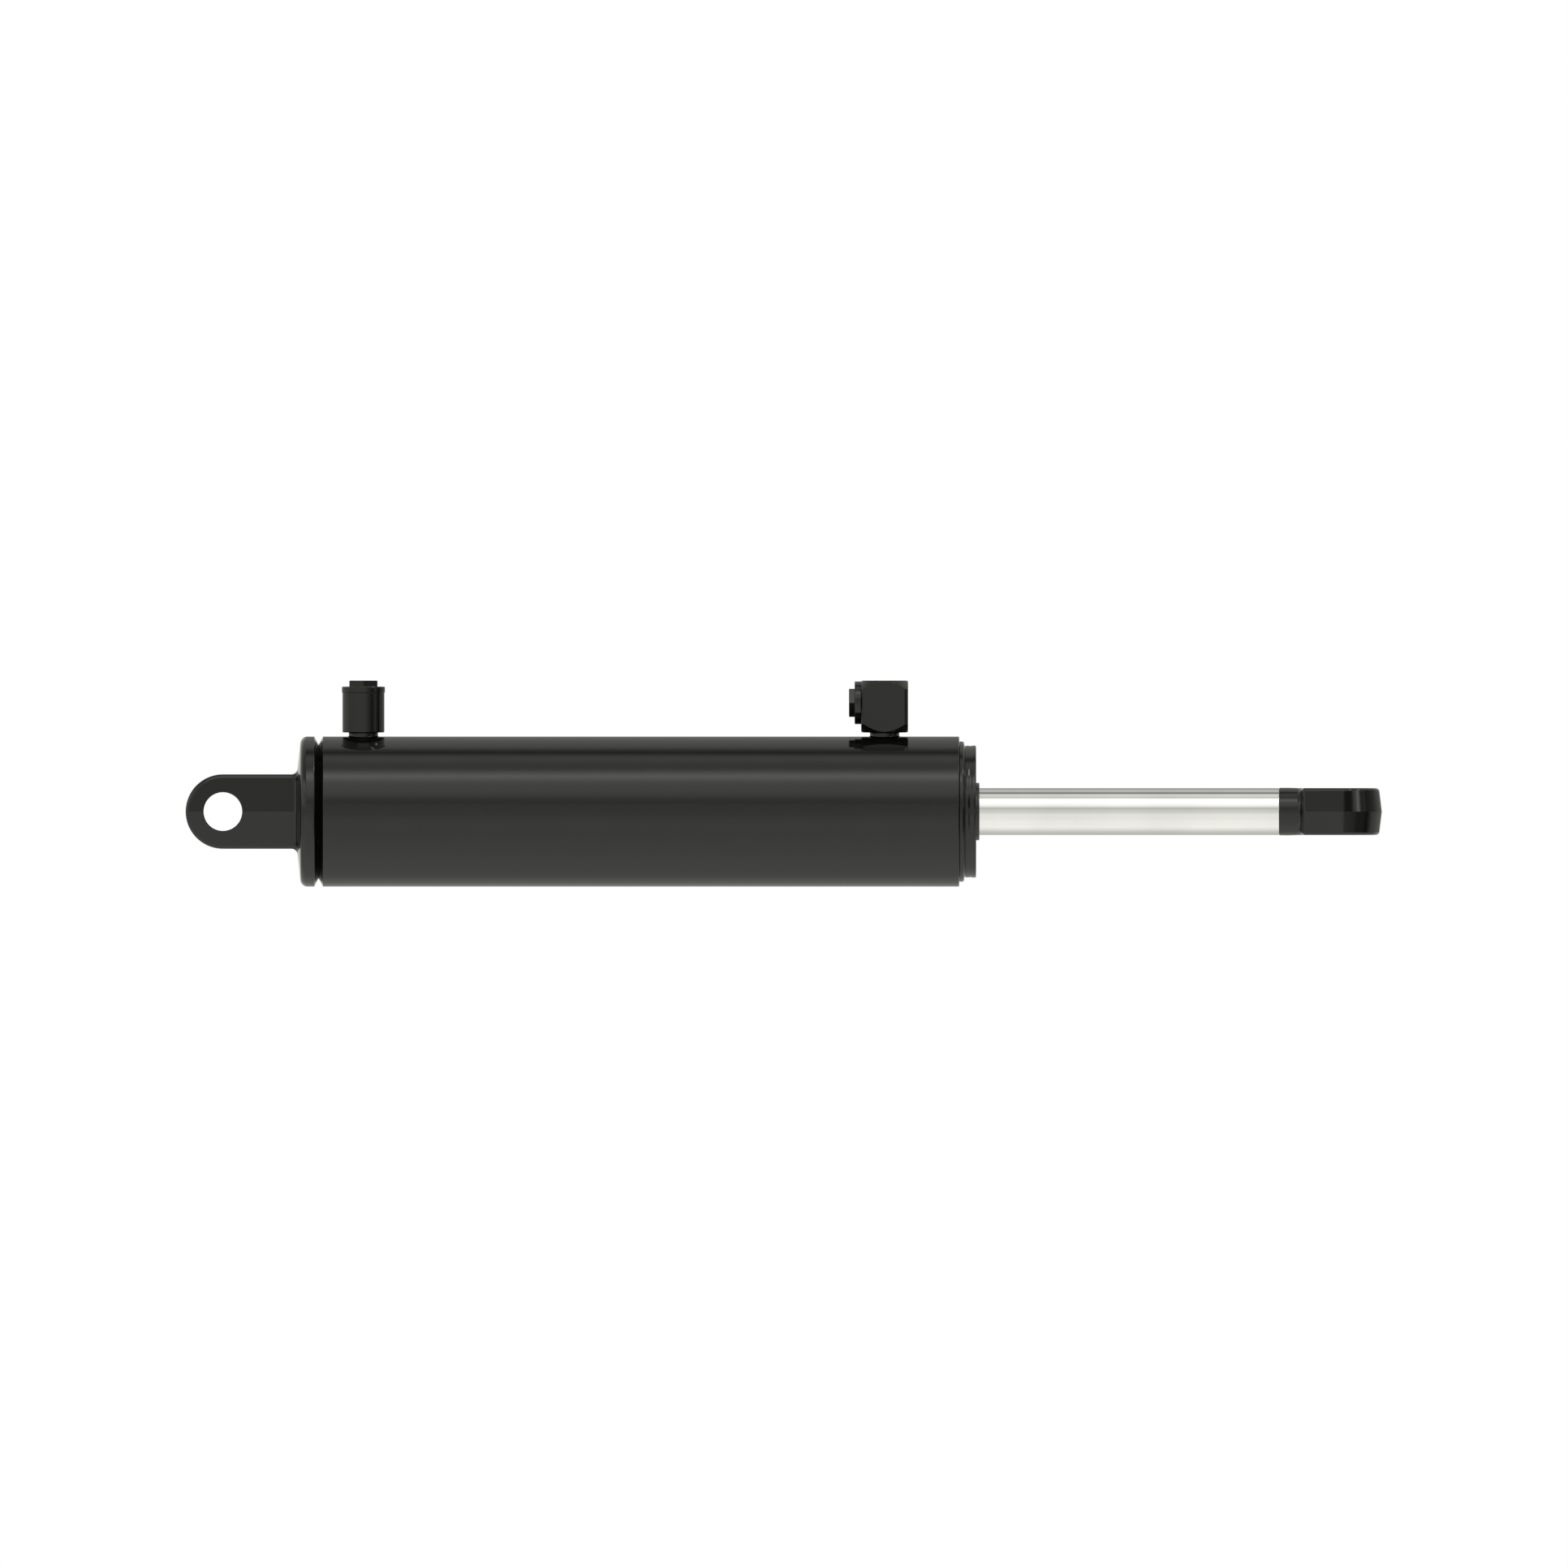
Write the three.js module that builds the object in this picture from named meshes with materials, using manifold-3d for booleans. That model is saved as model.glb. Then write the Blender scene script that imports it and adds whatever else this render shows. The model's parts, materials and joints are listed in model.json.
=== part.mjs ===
// Welded-barrel double-acting hydraulic cylinder, 3-1/2 in bore, 12 in stroke, 1-1/4 in rod.
// Millimetres. +X runs from the base eye to the rod eye, +Z points up towards the ports,
// and the origin is the centre of the base eye's pin hole. The cylinder is held part way out:
// 755.5 mm between pin centres, with 184 mm of travel left inwards and 120.8 mm outwards.
import * as THREE from 'three';
import { mergeVertices } from 'three/addons/utils/BufferGeometryUtils.js';
import { ConvexGeometry } from 'three/addons/geometries/ConvexGeometry.js';
import Module from 'manifold-3d';

const wasm = await Module();
wasm.setup();

// ---------------------------------------------------------------- driving dimensions
const GAP = 0.3;                 // clearance kept between assembled pieces

const TUBE_R = 50.8;             // barrel outside radius (4 in outside diameter)
const BORE_R = 44.45;            // barrel bore radius (3-1/2 in bore)
const TUBE_X0 = 65.3;            // barrel's welded end
const TUBE_X1 = 497.8;           // barrel's open end, which the gland screws into

const ROD_R = 15.875;            // rod radius (1-1/4 in rod)
const ROD_SHANK_R = 12.6;        // turned-down rod end that carries piston and nut
const ROD_X0 = 264.0;            // free end of the shank
const ROD_SHOULDER_X = 318.8;    // shoulder the piston seats against
const ROD_X1 = 713.6;            // rod end, welded to the rod eye

const PIN_HOLE_R = 13.03;        // pin hole radius in both eyes, for a 1 in pin
const DRAFT = THREE.MathUtils.degToRad(7);   // forging draft either side of the parting plane

const BASE_EYE_R = 25.2;         // round end of the base tang
const BASE_EYE_HALF_T = 15.875;  // half thickness of the base tang at the parting plane
const CAP_FACE_X = 50.1;         // back face of the base cap
const SPIGOT_R = 44.1;           // cap spigot inside the bore
const SPIGOT_X1 = 78.0;

const ROD_EYE_X = 755.5;         // rod eye pin centre
const ROD_EYE_R = 28.0;          // round end of the rod eye at the parting plane
const ROD_EYE_HALF_T = 15.9;     // half height of the rod eye along its pin axis
const ROD_EYE_SHOULDER_X = 729.3;
const ROD_EYE_NECK_R = 15.85;

const BASE_PORT_X = 95.0;        // base port axis
const ROD_PORT_X = 447.3;        // rod port axis
const PORT_TOP_Z = 80.3;         // top face of the straight base port boss
const PORT_BOSS_R = 14.2;
const PORT_NECK_R = 9.95;
const PORT_NECK_Z0 = 45.5;       // the necks end inside the barrel wall
const PORT_SHOULDER_Z = 53.5;
const PORT_THREAD_R = 9.9;       // 3/4-16 straight thread port
const PORT_PASSAGE_R = 6.0;
const ELBOW_HALF = 15.9;         // half width of the square elbow block
const ELBOW_TOP_Z = 88.6;
const ELBOW_OUTLET_Z = 73.5;     // outlet axis of the elbow, towards -X
const PLUG_COLLAR_R = 14.6;
const PLUG_THREAD_R = 9.5;
const PLUG_HEX_AF = 19.05;       // 3/4 in across flats

const PISTON_X0 = 287.5;
const PISTON_X1 = 318.5;
const PISTON_R = 44.1;
const NUT_AF = 38.1;             // 1-1/2 in across flats

const GLAND_NOSE_X = 440.0;
const GLAND_FACE_X = 509.2;
const GLAND_BORE_R = 16.2;

const N = 36;                    // facets round the large turned parts
const NR = 32;                   // facets round the rod and what runs on it
const NP = 24;                   // facets round the port fittings

// ---------------------------------------------------------------- solid helpers
function toSolid(geometry) {
  const g = geometry.clone();
  for (const name of Object.keys(g.attributes)) if (name !== 'position') g.deleteAttribute(name);
  const m = mergeVertices(g, 1e-4);
  const pos = m.attributes.position;
  const idx = m.index.array;
  const tris = [];
  let volume = 0;
  const a = new THREE.Vector3(), b = new THREE.Vector3(), c = new THREE.Vector3();
  for (let i = 0; i < idx.length; i += 3) {
    const [i0, i1, i2] = [idx[i], idx[i + 1], idx[i + 2]];
    if (i0 === i1 || i1 === i2 || i2 === i0) continue;
    a.fromBufferAttribute(pos, i0);
    b.fromBufferAttribute(pos, i1);
    c.fromBufferAttribute(pos, i2);
    volume += a.dot(b.clone().cross(c));
    tris.push(i0, i1, i2);
  }
  if (volume < 0) for (let i = 0; i < tris.length; i += 3) [tris[i + 1], tris[i + 2]] = [tris[i + 2], tris[i + 1]];
  return new wasm.Manifold(new wasm.Mesh({
    numProp: 3,
    vertProperties: new Float32Array(pos.array),
    triVerts: new Uint32Array(tris),
  }));
}

function toGeometry(solid) {
  const mesh = solid.getMesh();
  const g = new THREE.BufferGeometry();
  g.setAttribute('position', new THREE.BufferAttribute(new Float32Array(mesh.vertProperties), 3));
  g.setIndex(new THREE.BufferAttribute(new Uint32Array(mesh.triVerts), 1));
  g.computeVertexNormals();
  return g;
}

// Turned solid about the X axis. profile: [[x, r], ...]; a ring profile closes on itself.
function latheX(profile, n = N) {
  const pts = profile.map(([x, r]) => new THREE.Vector2(r, x));
  const onAxis = profile[0][1] === 0 && profile[profile.length - 1][1] === 0;
  if (!onAxis) pts.push(pts[0].clone());
  return toSolid(new THREE.LatheGeometry(pts, n).rotateZ(-Math.PI / 2));
}

// Turned solid about a vertical axis through (x, 0). profile: [[z, r], ...].
function latheZ(profile, x, n = NP) {
  const pts = profile.map(([z, r]) => new THREE.Vector2(r, z));
  const onAxis = profile[0][1] === 0 && profile[profile.length - 1][1] === 0;
  if (!onAxis) pts.push(pts[0].clone());
  return toSolid(new THREE.LatheGeometry(pts, n).rotateX(Math.PI / 2).translate(x, 0, 0));
}

// Plain cylinder between two points on one of the axes.
function cylX(r, x0, x1, y, z, n = NP) {
  return toSolid(new THREE.CylinderGeometry(r, r, x1 - x0, n).rotateZ(-Math.PI / 2).translate((x0 + x1) / 2, y, z));
}
function cylY(r, y0, y1, x, z, n = NP) {
  return toSolid(new THREE.CylinderGeometry(r, r, y1 - y0, n).translate(x, (y0 + y1) / 2, z));
}
function cylZ(r, z0, z1, x, y, n = NP) {
  return toSolid(new THREE.CylinderGeometry(r, r, z1 - z0, n).rotateX(Math.PI / 2).translate(x, y, (z0 + z1) / 2));
}

// Hexagonal prism along X or Z with one corner towards -Y.
function hexX(af, x0, x1, z) {
  const r = af / 2 / Math.cos(Math.PI / 6);
  const shape = new THREE.Shape();
  for (let i = 0; i < 6; i++) {
    const t = i * Math.PI / 3;
    if (i === 0) shape.moveTo(r * Math.cos(t), r * Math.sin(t));
    else shape.lineTo(r * Math.cos(t), r * Math.sin(t));
  }
  // shape x -> Y, shape y -> Z, extrusion -> X
  const g = new THREE.ExtrudeGeometry(shape, { depth: x1 - x0, bevelEnabled: false });
  g.applyMatrix4(new THREE.Matrix4().set(0, 0, 1, x0, 1, 0, 0, 0, 0, 1, 0, z, 0, 0, 0, 1));
  return toSolid(g);
}
function hexZ(af, z0, z1, x) {
  const r = af / 2 / Math.cos(Math.PI / 6);
  const shape = new THREE.Shape();
  for (let i = 0; i < 6; i++) {
    const t = Math.PI / 2 + i * Math.PI / 3;
    if (i === 0) shape.moveTo(r * Math.cos(t), r * Math.sin(t));
    else shape.lineTo(r * Math.cos(t), r * Math.sin(t));
  }
  return toSolid(new THREE.ExtrudeGeometry(shape, { depth: z1 - z0, bevelEnabled: false }).translate(x, 0, z0));
}

// O-ring section about the X axis or about a vertical axis.
function oRingProfile(axial, radial, r, sides = 8) {
  const out = [];
  for (let i = 0; i < sides; i++) {
    const t = (i + 0.5) * 2 * Math.PI / sides;
    out.push([axial + r * Math.cos(t), radial + r * Math.sin(t)]);
  }
  return out;
}

// ---------------------------------------------------------------- materials
const COLOURS = {
  barrel_paint: [0x2a2a29, 0.22, 0.1],
  rod_chrome: [0xd2d2d2, 0.12, 1.0],
  machined_steel: [0x8d8f92, 0.35, 1.0],
  ductile_iron: [0x55575a, 0.5, 0.9],
  weld_steel: [0x3b3a38, 0.5, 0.8],
  seal_rubber: [0x151515, 0.6, 0.0],
  seal_urethane: [0x2c4a66, 0.4, 0.0],
  wiper_urethane: [0x232323, 0.35, 0.0],
  wear_ring_nylon: [0x6b5a36, 0.5, 0.0],
};
const group = new THREE.Group();
function add(name, solid, slot) {
  const [color, roughness, metalness] = COLOURS[slot];
  const mesh = new THREE.Mesh(toGeometry(solid), new THREE.MeshStandardMaterial({ color, roughness, metalness }));
  mesh.name = name;
  group.add(mesh);
}

// ---------------------------------------------------------------- barrel tube
// Bevelled at the welded end; one hole through the wall for each port neck.
const tube = latheX([
  [TUBE_X0, BORE_R], [TUBE_X1, BORE_R], [TUBE_X1, TUBE_R], [67.7, TUBE_R], [TUBE_X0, 46.5],
])
  .subtract(cylZ(PORT_NECK_R + GAP, 38, 60, BASE_PORT_X, 0))
  .subtract(cylZ(PORT_NECK_R + GAP, 38, 60, ROD_PORT_X, 0));
add('barrel_tube', tube, 'barrel_paint');

// ---------------------------------------------------------------- base cap with forged tang
const capDisc = latheX([
  [CAP_FACE_X, 0], [CAP_FACE_X, 26.9], [52.4, 47.2], [52.9, 48.6], [54.0, 49.8], [55.4, 50.6], [56.7, TUBE_R],
  [61.8, TUBE_R], [64.1, 46.5], [64.1, SPIGOT_R], [SPIGOT_X1 - 1, SPIGOT_R], [SPIGOT_X1, SPIGOT_R - 1], [SPIGOT_X1, 0],
]);
// Tang: half thickness falls off linearly above and below the parting plane z = 0.
const tangPoints = [];
function tangPoint(x, z) {
  const y = BASE_EYE_HALF_T - Math.abs(z) * Math.tan(DRAFT);
  tangPoints.push(new THREE.Vector3(x, y, z), new THREE.Vector3(x, -y, z));
}
for (let i = 0; i <= 18; i++) {
  const t = Math.PI / 2 + i * Math.PI / 18;
  tangPoint(BASE_EYE_R * Math.cos(t), Math.round(BASE_EYE_R * Math.sin(t) * 1e6) / 1e6);
}
tangPoint(56, BASE_EYE_R);
tangPoint(56, -BASE_EYE_R);
tangPoint(56, 0);
const tang = toSolid(new ConvexGeometry(tangPoints));
// Fillets where the tang's narrow edges run into the cap.
function tangFillet(sign) {
  const R = 3.4, x0 = 46.9, x1 = x0 + R;
  const s = new THREE.Shape();
  s.moveTo(x0, sign * (BASE_EYE_R - 2));
  s.lineTo(x0, sign * BASE_EYE_R);
  for (let i = 1; i <= 4; i++) {
    const t = i * Math.PI / 8;
    s.lineTo(x0 + R * Math.sin(t), sign * (BASE_EYE_R + R - R * Math.cos(t)));
  }
  s.lineTo(x1 + 2, sign * (BASE_EYE_R + R));
  s.lineTo(x1 + 2, sign * (BASE_EYE_R - 2));
  s.closePath();
  const h = 12.5;
  const g = new THREE.ExtrudeGeometry(s, { depth: 2 * h, bevelEnabled: false });
  g.translate(0, 0, -h).rotateX(Math.PI / 2);
  return toSolid(g);
}
const baseCap = capDisc.add(tang).add(tangFillet(1)).add(tangFillet(-1))
  .subtract(cylY(PIN_HOLE_R, -30, 30, 0, 0, NR));
add('base_cap', baseCap, 'barrel_paint');

// Root pass of the cap weld, at the bottom of the open V groove.
add('base_root_weld', latheX([
  [64.4, 44.75], [65.0, 44.75], [65.0, 46.1], [64.85, 46.35], [64.55, 46.35], [64.4, 46.1],
]), 'weld_steel');

// ---------------------------------------------------------------- gland
const gland = latheX([
  [GLAND_NOSE_X, 33.0], [458.9, 33.0], [458.9, 43.3], [459.7, SPIGOT_R],
  [463.0, SPIGOT_R], [463.0, 40.6], [468.6, 40.6], [468.6, SPIGOT_R],
  [498.1, SPIGOT_R], [498.1, 47.6], [500.0, 47.6], [501.2, 46.4],
  [501.2, 44.1], [503.3, 44.8], [505.3, 44.1], [507.8, 44.8], [508.7, 44.6], [GLAND_FACE_X, 43.9],
  [GLAND_FACE_X, 20.4], [501.2, 20.4], [501.2, GLAND_BORE_R],
  [494.2, GLAND_BORE_R], [494.2, 18.7], [484.0, 18.7], [484.0, GLAND_BORE_R],
  [479.0, GLAND_BORE_R], [479.0, 21.3], [472.0, 21.3], [472.0, GLAND_BORE_R],
  [453.3, GLAND_BORE_R], [453.3, 18.7], [443.4, 18.7], [443.4, GLAND_BORE_R], [GLAND_NOSE_X, GLAND_BORE_R],
]);
// Four blind holes in the face take a pin spanner.
let glandCut = gland;
for (let i = 0; i < 4; i++) {
  const t = Math.PI / 4 + i * Math.PI / 2;
  glandCut = glandCut.subtract(cylX(3.2, 503.2, 512, 34 * Math.cos(t), 34 * Math.sin(t), 12));
}
add('gland', glandCut, 'barrel_paint');

add('gland_o_ring', latheX(oRingProfile(464.95, 42.5, 1.6)), 'seal_rubber');
add('gland_backup_ring', latheX([[466.9, 41.0], [468.3, 41.0], [468.3, 44.05], [466.9, 44.05]]), 'wear_ring_nylon');

// U-cup rod seal, its open side towards the pressure.
add('rod_seal', latheX([
  [472.3, 16.1], [478.7, 16.1], [478.7, 21.0], [472.3, 21.0], [472.3, 19.4], [475.6, 18.9], [475.6, 18.2], [472.3, 17.6],
], NR), 'seal_urethane');

// Split wear rings either side of the seal.
function splitRing(x0, x1, r0, r1, n, turn) {
  const t = THREE.MathUtils.degToRad(turn);
  const cut = new THREE.BoxGeometry(x1 - x0 + 4, r1, 1.6)
    .translate((x0 + x1) / 2, (r0 + r1) / 2, 0).rotateX(t);
  return latheX([[x0, r0], [x1, r0], [x1, r1], [x0, r1]], n).subtract(toSolid(cut));
}
add('rod_wear_ring_rear', splitRing(443.7, 453.0, 16.1, 18.4, NR, 30), 'wear_ring_nylon');
add('rod_wear_ring_front', splitRing(484.3, 493.9, 16.1, 18.4, NR, 210), 'wear_ring_nylon');

// Wiper: its lip stands out of the gland's face.
add('rod_wiper', latheX([
  [501.5, 16.6], [501.5, 20.1], [508.9, 20.1], [509.3, 19.5], [510.8, 19.5], [511.4, 18.9],
  [511.4, 16.1], [509.4, 16.1], [507.6, 16.6],
], NR), 'wiper_urethane');

// ---------------------------------------------------------------- base port: straight boss and plug
add('base_port_boss', latheZ([
  [PORT_NECK_Z0, PORT_NECK_R], [PORT_SHOULDER_Z, PORT_NECK_R], [PORT_SHOULDER_Z, PORT_BOSS_R - 0.7],
  [PORT_SHOULDER_Z + 0.7, PORT_BOSS_R], [PORT_TOP_Z, PORT_BOSS_R], [PORT_TOP_Z, 12.6], [77.7, 12.6],
  [77.7, PORT_THREAD_R], [62.0, PORT_THREAD_R], [60.0, PORT_PASSAGE_R], [PORT_NECK_Z0, PORT_PASSAGE_R],
], BASE_PORT_X), 'barrel_paint');
add('base_port_plug', latheZ([
  [67.0, 0], [67.0, 8.6], [67.9, PLUG_THREAD_R], [80.6, PLUG_THREAD_R], [80.6, PLUG_COLLAR_R], [84.5, PLUG_COLLAR_R], [84.5, 0],
], BASE_PORT_X).add(hexZ(PLUG_HEX_AF, 84.3, 88.6, BASE_PORT_X)), 'barrel_paint');
add('base_port_o_ring', latheZ(oRingProfile(79.15, 11.15, 1.15, 6), BASE_PORT_X), 'seal_rubber');

// ---------------------------------------------------------------- rod port: square elbow and plug
function roundedSquare(h, r) {
  const s = new THREE.Shape();
  s.moveTo(-h + r, -h);
  for (const [cx, cy, t0] of [[h - r, -h + r, -90], [h - r, h - r, 0], [-h + r, h - r, 90], [-h + r, -h + r, 180]]) {
    for (let i = 0; i <= 2; i++) {
      const t = THREE.MathUtils.degToRad(t0 + i * 45);
      s.lineTo(cx + r * Math.cos(t), cy + r * Math.sin(t));
    }
  }
  s.closePath();
  return s;
}
const elbowBlock = toSolid(new THREE.ExtrudeGeometry(roundedSquare(ELBOW_HALF, 2.0),
  { depth: ELBOW_TOP_Z - 53.2, bevelEnabled: false }).translate(ROD_PORT_X, 0, 53.2));
// Conical chamfers at both ends, as on a turned nut.
const elbowCone = latheZ([
  [53.2, 0], [53.2, 15.2], [60.2, 22.4], [81.6, 22.4], [ELBOW_TOP_Z, 15.2], [ELBOW_TOP_Z, 0],
], ROD_PORT_X, NR);
const elbow = elbowBlock.intersect(elbowCone)
  .add(cylZ(PORT_NECK_R, PORT_NECK_Z0, 54, ROD_PORT_X, 0))
  .subtract(cylZ(PORT_PASSAGE_R, 40, ELBOW_OUTLET_Z, ROD_PORT_X, 0, NP))
  .subtract(cylX(PORT_PASSAGE_R, ROD_PORT_X - 10, ROD_PORT_X + 6, 0, ELBOW_OUTLET_Z))
  .subtract(cylX(PORT_THREAD_R, ROD_PORT_X - 20, ROD_PORT_X - 2.5, 0, ELBOW_OUTLET_Z))
  .subtract(cylX(12.6, ROD_PORT_X - 20, ROD_PORT_X - ELBOW_HALF + 2.6, 0, ELBOW_OUTLET_Z));
add('rod_port_elbow', elbow, 'barrel_paint');

const outletX = ROD_PORT_X - ELBOW_HALF;       // face of the elbow the plug seats on
const rodPlug = toSolid(new THREE.LatheGeometry([
  [outletX + 10.5, 0], [outletX + 10.5, 8.6], [outletX + 9.6, PLUG_THREAD_R], [outletX - GAP, PLUG_THREAD_R],
  [outletX - GAP, PLUG_COLLAR_R - 0.05], [427.0, PLUG_COLLAR_R - 0.05], [427.0, 0],
].map(([x, r]) => new THREE.Vector2(r, x)), NP).rotateZ(-Math.PI / 2).translate(0, 0, ELBOW_OUTLET_Z))
  .add(hexX(PLUG_HEX_AF, 423.2, 427.2, ELBOW_OUTLET_Z));
add('rod_port_plug', rodPlug, 'barrel_paint');
add('rod_port_o_ring', toSolid(new THREE.LatheGeometry(
  [...oRingProfile(outletX + 1.15, 11.15, 1.15, 6), oRingProfile(outletX + 1.15, 11.15, 1.15, 6)[0]]
    .map(([x, r]) => new THREE.Vector2(r, x)), NP).rotateZ(-Math.PI / 2).translate(0, 0, ELBOW_OUTLET_Z)), 'seal_rubber');

// ---------------------------------------------------------------- piston on the rod
add('piston_rod', latheX([
  [ROD_X0, 0], [ROD_X0, ROD_SHANK_R - 1.2], [ROD_X0 + 1.2, ROD_SHANK_R], [ROD_SHOULDER_X, ROD_SHANK_R],
  [ROD_SHOULDER_X, ROD_R], [ROD_X1 - 1.0, ROD_R], [ROD_X1, ROD_R - 1.0], [ROD_X1, 0],
], NR), 'rod_chrome');

add('piston', latheX([
  [PISTON_X0, 12.9], [PISTON_X0, 43.4], [PISTON_X0 + 0.7, PISTON_R],
  [289.6, PISTON_R], [289.6, 41.1], [296.6, 41.1], [296.6, PISTON_R],
  [299.6, PISTON_R], [299.6, 39.3], [306.4, 39.3], [306.4, PISTON_R],
  [309.4, PISTON_R], [309.4, 41.1], [316.4, 41.1], [316.4, PISTON_R],
  [PISTON_X1 - 0.7, PISTON_R], [PISTON_X1, 43.4], [PISTON_X1, 12.9],
  [305.0, 12.9], [305.0, 15.4], [301.0, 15.4], [301.0, 12.9],
]), 'ductile_iron');
add('piston_nut', hexX(NUT_AF, 266.4, 287.2, 0).subtract(cylX(12.9, 260, 290, 0, 0, NR)), 'machined_steel');
add('piston_o_ring', latheX(oRingProfile(303.0, 13.98, 1.1, 6), NR), 'seal_rubber');

// Rings that ride in the piston's grooves and run in the bore.
add('piston_seal', latheX([[299.9, 42.2], [306.1, 42.2], [306.1, 44.2], [299.9, 44.2]]), 'seal_urethane');
add('piston_seal_energizer', latheX([
  [300.0, 40.1], [300.6, 39.6], [305.4, 39.6], [306.0, 40.1], [306.0, 41.4], [305.4, 41.9], [300.6, 41.9], [300.0, 41.4],
]), 'seal_rubber');
add('piston_wear_ring_rear', splitRing(289.9, 296.3, 41.4, 44.2, N, 130), 'wear_ring_nylon');
add('piston_wear_ring_front', splitRing(309.7, 316.1, 41.4, 44.2, N, 310), 'wear_ring_nylon');

// ---------------------------------------------------------------- rod eye
// Weld band round the joint between the rod and the eye's stub.
add('rod_eye_weld', latheX([
  [713.9, 12.3], [713.9, 15.5], [714.6, 16.16], [721.5, 16.16], [721.5, 12.3],
], NR), 'barrel_paint');
// Stub, round neck and drafted eye body in one forging.
const eyePoints = [];
function eyePoint(ux, uy, r, z) {
  eyePoints.push(new THREE.Vector3(ROD_EYE_X + r * ux, r * uy, z));
}
for (const [z, r] of [[0, ROD_EYE_R], [ROD_EYE_HALF_T, ROD_EYE_R - ROD_EYE_HALF_T * Math.tan(DRAFT)],
  [-ROD_EYE_HALF_T, ROD_EYE_R - ROD_EYE_HALF_T * Math.tan(DRAFT)]]) {
  for (let i = 0; i <= 18; i++) {
    const t = -Math.PI / 2 + i * Math.PI / 18;
    eyePoint(Math.cos(t), Math.sin(t), r, z);
  }
  eyePoints.push(new THREE.Vector3(ROD_EYE_SHOULDER_X, r, z), new THREE.Vector3(ROD_EYE_SHOULDER_X, -r, z));
}
const eyeBody = toSolid(new ConvexGeometry(eyePoints));
const eyeNeck = latheX([
  [714.0, 0], [714.0, 12.0], [721.8, 12.0], [721.8, ROD_EYE_NECK_R], [733.0, ROD_EYE_NECK_R], [733.0, 0],
], NR);
const rodEye = eyeBody.add(eyeNeck).subtract(cylZ(PIN_HOLE_R, -30, 30, ROD_EYE_X, 0, NR));
add('rod_eye', rodEye, 'barrel_paint');

export default group;
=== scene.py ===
import json
import math

import bpy
import numpy as np
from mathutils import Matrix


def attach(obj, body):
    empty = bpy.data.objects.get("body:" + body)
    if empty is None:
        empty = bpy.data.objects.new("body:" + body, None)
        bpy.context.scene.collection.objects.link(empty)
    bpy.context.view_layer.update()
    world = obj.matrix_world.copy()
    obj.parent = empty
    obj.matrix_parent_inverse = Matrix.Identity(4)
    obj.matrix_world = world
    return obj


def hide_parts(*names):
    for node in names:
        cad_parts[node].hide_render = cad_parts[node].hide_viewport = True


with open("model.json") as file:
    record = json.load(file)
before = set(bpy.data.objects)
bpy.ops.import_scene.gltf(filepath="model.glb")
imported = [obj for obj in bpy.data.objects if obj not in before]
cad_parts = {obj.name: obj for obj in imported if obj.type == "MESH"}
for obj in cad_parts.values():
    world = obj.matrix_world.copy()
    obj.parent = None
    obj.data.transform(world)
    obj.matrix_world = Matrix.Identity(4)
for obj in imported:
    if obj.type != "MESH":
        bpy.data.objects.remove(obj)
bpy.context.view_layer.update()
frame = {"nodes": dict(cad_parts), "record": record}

MM = 0.001
T7 = math.tan(math.radians(7.0))
C7 = math.cos(math.radians(7.0))

# ---------------------------------------------------------------------------
# Mesh helpers. Every function here works in millimetres, in the row's frame.
# ---------------------------------------------------------------------------


def finish_mesh(ob):
    me = ob.data
    me.shade_smooth()
    me.update()
    return ob


def new_mesh(name, verts, faces):
    me = bpy.data.meshes.new(name)
    me.from_pydata((np.asarray(verts, float) * MM).tolist(), [], faces)
    me.validate()
    ob = bpy.data.objects.new(name, me)
    bpy.context.scene.collection.objects.link(ob)
    return finish_mesh(ob)


def mesh_arrays(me):
    co = np.zeros(len(me.vertices) * 3)
    me.vertices.foreach_get("co", co)
    co = co.reshape(-1, 3) / MM
    lv = np.zeros(len(me.loops), np.int64)
    me.loops.foreach_get("vertex_index", lv)
    start = np.zeros(len(me.polygons), np.int64)
    total = np.zeros(len(me.polygons), np.int64)
    me.polygons.foreach_get("loop_start", start)
    me.polygons.foreach_get("loop_total", total)
    centre = np.zeros(len(me.polygons) * 3)
    normal = np.zeros(len(me.polygons) * 3)
    me.polygons.foreach_get("center", centre)
    me.polygons.foreach_get("normal", normal)
    face_of = np.repeat(np.arange(len(me.polygons)), total)
    return co, lv, centre.reshape(-1, 3) / MM, normal.reshape(-1, 3), face_of


def set_loop_normals(ob, fn):
    """fn(points, face centres, face normals) -> exact normals, one for each face corner."""
    me = ob.data
    co, lv, centre, normal, face_of = mesh_arrays(me)
    n = fn(co[lv], centre[face_of], normal[face_of])
    n = n / np.maximum(np.linalg.norm(n, axis=1), 1e-12)[:, None]
    bad = (n * normal[face_of]).sum(1) < 0.2
    n[bad] = normal[face_of][bad]
    me.normals_split_custom_set(n.tolist())
    return ob


# ------------------------------------------------------------- turned parts


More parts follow.
